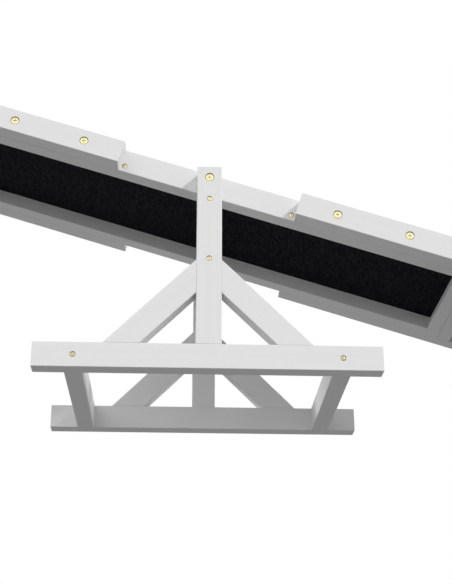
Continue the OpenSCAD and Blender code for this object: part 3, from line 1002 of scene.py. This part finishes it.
class SEESAW_OT_contact_mats(bpy.types.Operator):
    """Build the yellow mats of the contact zones"""
    bl_idname = "seesaw.contact_mats"
    bl_label = "Contact zones"

    def execute(self, context):
        s = context.scene.seesaw.mats
        lay_mats(s, "contact_rubber", granulate("Bonded yellow rubber granulate", s.yellow, s.amber))
        return {"FINISHED"}


class SEESAW_OT_fixings(bpy.types.Operator):
    """Build the domed screws, joint bolts and pivot bolts"""
    bl_idname = "seesaw.fixings"
    bl_label = "Screws and bolts"

    def execute(self, context):
        s = context.scene.seesaw.fixings
        plating = yellow_zinc()
        for node in nodes_in("yellow_zinc_fixings"):
            if node.endswith("screws"):
                # The heads of the base screws get painted shade all over
                shade_and_wear = s.low_shade if node.startswith("base") else 0
                made = fixings(node, lambda size, r: screw_shape(s, size, r), s.screw_head, shade_and_wear)
            else:
                tip = s.journal_length if "pivot" in node else 0
                made = fixings(node, lambda size, r: bolt_shape(s, size, r, tip), s.bolt_head)
            stand_in(made, node, "plated", "yellow_zinc_fixings", plating)
        return {"FINISHED"}


class SEESAW_OT_inserts(bpy.types.Operator):
    """Build the threaded inserts that the bolts screw into"""
    bl_idname = "seesaw.inserts"
    bl_label = "Threaded inserts"

    def execute(self, context):
        s = context.scene.seesaw.fixings
        steel = zinc_plated_steel()
        for node in nodes_in("insert_steel"):
            made = fixings(node, lambda size, r: insert_shape(s, size, r), 0)
            stand_in(made, node, "threaded", "insert_steel", steel)
        return {"FINISHED"}


class SEESAW_OT_bushes(bpy.types.Operator):
    """Give the pivot bushes their bronze"""
    bl_idname = "seesaw.bushes"
    bl_label = "Pivot bushes"

    def execute(self, context):
        bronze = sintered_bronze()
        for node in nodes_in("bearing_bronze"):
            for slot in frame["nodes"][node].material_slots:
                slot.material = bronze
        return {"FINISHED"}


class SEESAW_OT_dowels(bpy.types.Operator):
    """Build the fluted dowels inside the stand's glued joints"""
    bl_idname = "seesaw.dowels"
    bl_label = "Dowels"

    def execute(self, context):
        s = context.scene.seesaw.fixings
        wood = beech()
        for node in nodes_in("beech_dowel"):
            places = []
            for i, (low, high) in enumerate(parts_of(node)):
                span = high - low
                lying = span.x > span.z
                turn = Matrix.Rotation(math.pi / 2, 4, "Y") if lying else Matrix.Identity(4)
                shape = dowel_shape(s, max(span), span.y / 2)
                places.append((shape, Matrix.Translation((low + high) / 2) @ turn, i * DOWEL_SHIFT))
            made = gather(places)
            for shape, _, _ in places:
                shape.free()
            stand_in(made, node, "fluted", "beech_dowel", wood)
        return {"FINISHED"}


# Stage


def studio_world(s):
    """Soft surroundings, as bright as set on each of six sides. The camera and gloss see plain white."""
    world = bpy.data.worlds.new("Studio")
    bpy.context.scene.world = world
    world.use_nodes = True
    tree = world.node_tree
    tree.nodes.clear()
    way = add(tree, "ShaderNodeTexCoord").outputs["Generated"]
    glow = []
    for half, strengths in (("MAXIMUM", s.right_back_above), ("MINIMUM", s.left_front_below)):
        part = add(tree, "ShaderNodeVectorMath", {0: way, 1: (0, 0, 0)}, operation=half).outputs[0]
        square = add(tree, "ShaderNodeVectorMath", {0: part, 1: part}, operation="MULTIPLY").outputs[0]
        glow.append(add(tree, "ShaderNodeVectorMath", {0: square, 1: strengths}, operation="DOT_PRODUCT"))
    strength = add(tree, "ShaderNodeMath", {0: glow[0].outputs["Value"], 1: glow[1].outputs["Value"]})
    soft = add(tree, "ShaderNodeBackground", {"Color": (1, 1, 1, 1), "Strength": strength.outputs[0]})
    white = add(tree, "ShaderNodeBackground", {"Color": (1, 1, 1, 1), "Strength": 1.0})
    ray = add(tree, "ShaderNodeLightPath").outputs
    gloss = add(tree, "ShaderNodeMath", {0: ray["Is Glossy Ray"], 1: ray["Is Transmission Ray"]})
    seen = add(tree, "ShaderNodeMath", {0: ray["Is Camera Ray"], 1: gloss.outputs[0]}, use_clamp=True)
    both = add(tree, "ShaderNodeMixShader", {0: seen.outputs[0], 1: soft.outputs[0], 2: white.outputs[0]})
    add(tree, "ShaderNodeOutputWorld", {"Surface": both.outputs[0]})


def studio_lamp(name, energy, way, size):
    """A far lamp in a given direction from the object."""
    lamp = bpy.data.objects.new(name, bpy.data.lights.new(name, "SUN"))
    lamp.data.energy = energy
    lamp.data.angle = size
    lamp.rotation_euler = (-Vector(way)).to_track_quat("-Z", "Y").to_euler()
    bpy.context.scene.collection.objects.link(lamp)


def studio_floor(s):
    """A pale painted floor that fades out to the white behind it. Seen from below, it is clear."""
    material, tree = empty_material("Pale floor paint")
    place = add(tree, "ShaderNodeTexCoord")
    reach = add(tree, "ShaderNodeVectorMath", {0: place.outputs["Object"]}, operation="LENGTH")
    whole = s.floor_reach - s.floor_fade
    fade = add(
        tree, "ShaderNodeMapRange",
        {"Value": reach.outputs["Value"], "From Min": whole, "From Max": s.floor_reach},
        interpolation_type="SMOOTHSTEP",
    )
    below = add(tree, "ShaderNodeNewGeometry")
    gone = add(
        tree, "ShaderNodeMath", {0: fade.outputs[0], 1: below.outputs["Backfacing"]}, operation="MAXIMUM"
    )
    paint = add(tree, "ShaderNodeBsdfPrincipled", {"Base Color": s.floor, "Roughness": 0.9})
    clear = add(tree, "ShaderNodeBsdfTransparent")
    both = add(tree, "ShaderNodeMixShader", {0: gone.outputs[0], 1: paint.outputs[0], 2: clear.outputs[0]})
    add(tree, "ShaderNodeOutputMaterial", {"Surface": both.outputs[0]})
    bm = bmesh.new()
    bmesh.ops.create_grid(bm, x_segments=8, y_segments=8, size=s.floor_reach)
    mesh = bpy.data.meshes.new("studio_floor")
    bm.to_mesh(mesh)
    bm.free()
    mesh.materials.append(material)
    floor = bpy.data.objects.new("studio_floor", mesh)
    floor.location.z = CAD_BOX[0].z - s.floor_drop
    # It shows the object's shadow, but it blocks no light, and matt faces get none back from it
    floor.visible_diffuse = False
    floor.visible_shadow = False
    bpy.context.scene.collection.objects.link(floor)


class SEESAW_OT_stage(bpy.types.Operator):
    """Set up the camera of the photograph, the five lamps, the soft surroundings and the floor"""
    bl_idname = "seesaw.stage"
    bl_label = "Stage"

    def execute(self, context):
        scene, s = context.scene, context.scene.seesaw.studio
        camera = bpy.data.objects.new("Photo camera", bpy.data.cameras.new("Photo camera"))
        camera.data.sensor_width = SENSOR_LONG_SIDE
        camera.data.sensor_fit = "AUTO"
        camera.data.lens = s.lens_pixels * SENSOR_LONG_SIDE / max(PHOTO_W, PHOTO_H)
        camera.location = s.lens_place
        camera.rotation_euler = s.lens_turn
        scene.collection.objects.link(camera)
        scene.camera = camera
        studio_lamp("Key light", s.key, s.key_way, s.key_size)
        studio_lamp("Side light", s.side, s.side_way, s.side_size)
        studio_lamp("Top light", s.top, s.top_way, s.soft_size)
        studio_lamp("Fill light", s.fill, s.fill_way, s.soft_size)
        studio_lamp("Front light", s.front, s.front_way, s.soft_size)
        studio_world(s)
        studio_floor(s)
        scene.view_settings.view_transform = "Standard"
        return {"FINISHED"}


class SEESAW_PT_panel(bpy.types.Panel):
    """Lists the pieces of the seesaw in the sidebar"""
    bl_idname = "SEESAW_PT_panel"
    bl_label = "Seesaw"
    bl_space_type = "VIEW_3D"
    bl_region_type = "UI"
    bl_category = "Seesaw"

    def draw(self, context):
        for operator in OPERATORS:
            self.layout.operator(operator.bl_idname)


OPERATORS = (
    SEESAW_OT_stage, SEESAW_OT_timbers, SEESAW_OT_deck_boards, SEESAW_OT_mats, SEESAW_OT_contact_mats,
    SEESAW_OT_fixings, SEESAW_OT_inserts, SEESAW_OT_bushes, SEESAW_OT_dowels,
)
CLASSES = (
    SeesawTimber, SeesawDeck, SeesawMats, SeesawFixings, SeesawStudio, SeesawSettings, *OPERATORS,
    SEESAW_PT_panel,
)


def register():
    for cls in CLASSES:
        bpy.utils.register_class(cls)
    bpy.types.Scene.seesaw = PointerProperty(type=SeesawSettings)


def unregister():
    del bpy.types.Scene.seesaw
    for cls in reversed(CLASSES):
        bpy.utils.unregister_class(cls)


def main():
    register()
    bpy.ops.seesaw.stage()
    bpy.ops.seesaw.timbers()
    bpy.ops.seesaw.deck_boards()
    bpy.ops.seesaw.mats()
    bpy.ops.seesaw.contact_mats()
    bpy.ops.seesaw.fixings()
    bpy.ops.seesaw.inserts()
    bpy.ops.seesaw.bushes()
    bpy.ops.seesaw.dowels()
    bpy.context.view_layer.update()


if __name__ == "__main__":
    main()
